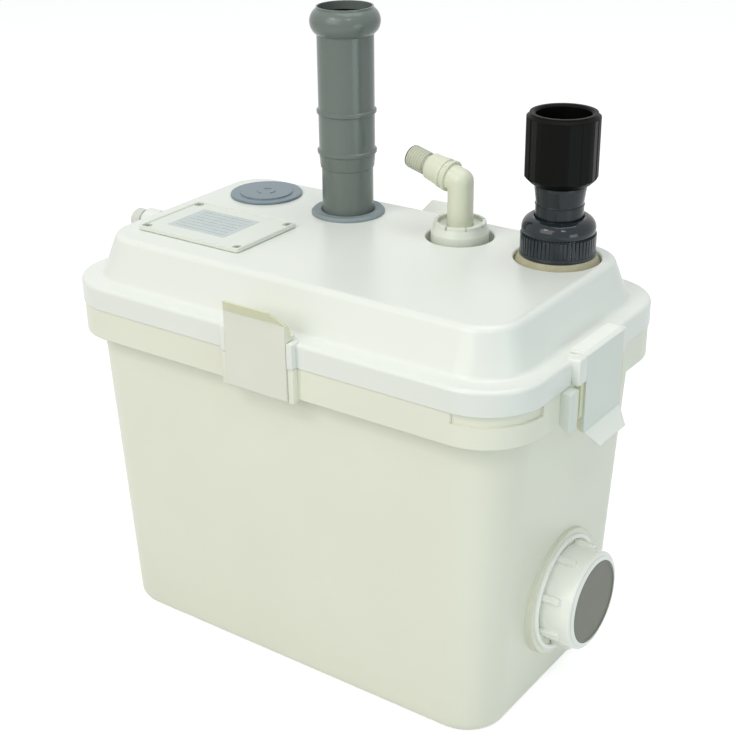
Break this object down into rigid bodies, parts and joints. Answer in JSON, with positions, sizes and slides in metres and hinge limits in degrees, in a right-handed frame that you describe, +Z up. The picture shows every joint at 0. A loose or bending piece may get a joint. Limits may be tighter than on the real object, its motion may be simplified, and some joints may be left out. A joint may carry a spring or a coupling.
{
  "type": "wastewater lifting station",
  "caption": "Lidded plastic collecting tank with snap clips, a pump and float switch inside, and pipe, hose, discharge and side inlet ports.",
  "frame": {"origin": "centre of the tank's base, on the floor", "axes": "+X right along the long front wall, towards the discharge end; +Y to the back; +Z up through the lid"},
  "size_m": [0.43, 0.266, 0.4795],
  "materials": {
    "tank_polypropylene": "satin moulded ivory polypropylene",
    "lid_abs": "glossy moulded white ABS",
    "clip_polypropylene": "satin moulded white polypropylene",
    "cover_abs": "glossy moulded white ABS",
    "label_film": "satin printed film, left blank",
    "pipe_polypropylene": "smooth extruded grey polypropylene",
    "plug_grey": "satin moulded blue-grey plastic",
    "grommet_rubber": "moulded grey rubber",
    "elbow_acetal": "glossy moulded cream plastic",
    "tail_nylon": "ribbed moulded grey-cream nylon",
    "nut_white": "glossy moulded white plastic",
    "union_pvc": "glossy moulded slate PVC",
    "coupling_black": "satin moulded black polypropylene",
    "seal_beige": "moulded beige rubber",
    "seal_black": "moulded black rubber",
    "seal_navy": "moulded dark blue rubber",
    "cap_grey": "satin moulded warm grey plastic",
    "screw_steel": "zinc-plated steel",
    "shaft_steel": "ground stainless steel",
    "motor_steel": "drawn stainless steel",
    "pump_plastic": "glass-filled black plastic",
    "core_steel": "stacked electrical steel",
    "copper_wire": "enamelled copper wire",
    "float_foam": "closed white plastic float",
    "magnet_ferrite": "sintered ferrite",
    "board_laminate": "green circuit laminate",
    "relay_plastic": "black moulded relay case",
    "capacitor_can": "drawn aluminium can"
  },
  "bodies": {
    "station": {"tank": "tank_polypropylene", "lid": "lid_abs", "lid_gasket": "seal_black", "inlet_grommet": "grommet_rubber", "elbow_washer": "seal_black", "check_valve_body": "union_pvc", "valve_seat_ring": "seal_black", "union_o_ring": "seal_black", "flap_pin": "shaft_steel", "riser_pipe": "pipe_polypropylene", "discharge_tail": "union_pvc", "coupling_gasket": "seal_black", "discharge_seal_ring": "seal_beige", "side_inlet_seal": "seal_black", "side_spigot": "nut_white", "switch_cover": "cover_abs", "cover_gasket": "seal_black", "cover_screws": "screw_steel", "blank_label": "label_film", "cable_gland": "nut_white", "gland_seal": "seal_black", "gland_nut": "nut_white", "float_stem": "shaft_steel", "float_stops": "shaft_steel", "control_board": "board_laminate", "relay": "relay_plastic", "capacitor": "capacitor_can", "suction_strainer": "pump_plastic", "volute_casing": "pump_plastic", "pump_cover": "pump_plastic", "pump_screws": "screw_steel", "shaft_seal": "seal_black", "lower_bearing": "shaft_steel", "upper_bearing": "shaft_steel", "motor_stator": "core_steel", "stator_windings": "copper_wire", "motor_housing": "motor_steel", "motor_cap": "pump_plastic"},
    "inlet_pipe": {"inlet_pipe": "pipe_polypropylene", "pipe_lip_seal": "seal_navy"},
    "blanking_plug": {"blanking_plug": "plug_grey", "plug_seal": "seal_black"},
    "side_cap": {"side_blanking_cap": "cap_grey"},
    "side_nut": {"side_inlet_nut": "nut_white"},
    "hose_elbow": {"hose_elbow": "elbow_acetal", "arm_collar": "elbow_acetal", "hose_tail": "tail_nylon"},
    "elbow_nut": {"elbow_union_nut": "elbow_acetal"},
    "union_nut": {"discharge_union_nut": "union_pvc"},
    "coupling_nut": {"coupling_nut": "coupling_black"},
    "rotor": {"pump_shaft": "shaft_steel", "impeller": "pump_plastic", "motor_rotor": "core_steel"},
    "float": {"float_body": "float_foam", "magnet_ring": "magnet_ferrite"},
    "valve_flap": {"valve_flap": "seal_black"},
    "clip_front": {"clip_front": "clip_polypropylene"},
    "clip_back": {"clip_back": "clip_polypropylene"},
    "clip_left": {"clip_left": "clip_polypropylene"},
    "clip_right": {"clip_right": "clip_polypropylene"}
  },
  "joints": [
    {"name": "clip_front_release", "type": "hinge", "parent": "station", "child": "clip_front", "pos_m": [0, -0.1105, 0.2457], "axis": [1, 0, 0], "range_deg": [0, 45]},
    {"name": "clip_back_release", "type": "hinge", "parent": "station", "child": "clip_back", "pos_m": [0, 0.1105, 0.2457], "axis": [-1, 0, 0], "range_deg": [0, 45]},
    {"name": "clip_left_release", "type": "hinge", "parent": "station", "child": "clip_left", "pos_m": [-0.1925, 0, 0.2883], "axis": [0, 1, 0], "range_deg": [0, 45]},
    {"name": "clip_right_release", "type": "hinge", "parent": "station", "child": "clip_right", "pos_m": [0.1925, 0, 0.2883], "axis": [0, -1, 0], "range_deg": [0, 45]},
    {"name": "inlet_pipe_pull", "type": "slide", "parent": "station", "child": "inlet_pipe", "axis": [0, 0, 1], "range_m": [0, 0.03]},
    {"name": "blanking_plug_pull", "type": "slide", "parent": "station", "child": "blanking_plug", "axis": [0, 0, 1], "range_m": [0, 0.025]},
    {"name": "side_cap_pull", "type": "slide", "parent": "station", "child": "side_cap", "axis": [1, 0, 0], "range_m": [0, 0.022]},
    {"name": "side_nut_turn", "type": "hinge", "parent": "station", "child": "side_nut", "pos_m": [0.196, 0, 0.082], "axis": [1, 0, 0], "continuous": true},
    {"name": "hose_elbow_swivel", "type": "hinge", "parent": "station", "child": "hose_elbow", "pos_m": [0.0555, 0.0539, 0.33], "axis": [0, 0, 1], "continuous": true},
    {"name": "elbow_nut_turn", "type": "hinge", "parent": "station", "child": "elbow_nut", "pos_m": [0.0555, 0.0539, 0.32], "axis": [0, 0, 1], "continuous": true},
    {"name": "union_nut_turn", "type": "hinge", "parent": "station", "child": "union_nut", "pos_m": [0.1375, 0.0539, 0.33], "axis": [0, 0, 1], "continuous": true},
    {"name": "coupling_nut_turn", "type": "hinge", "parent": "station", "child": "coupling_nut", "pos_m": [0.1375, 0.0539, 0.4], "axis": [0, 0, 1], "continuous": true},
    {"name": "pump_rotor_spin", "type": "hinge", "parent": "station", "child": "rotor", "pos_m": [0.0415, 0.0019, 0.12], "axis": [0, 0, 1], "continuous": true},
    {"name": "float_rise", "type": "slide", "parent": "station", "child": "float", "axis": [0, 0, 1], "range_m": [0, 0.075]},
    {"name": "valve_flap_swing", "type": "hinge", "parent": "station", "child": "valve_flap", "pos_m": [0.1375, 0.0714, 0.2527], "axis": [-1, 0, 0], "range_deg": [0, 60]}
  ]
}
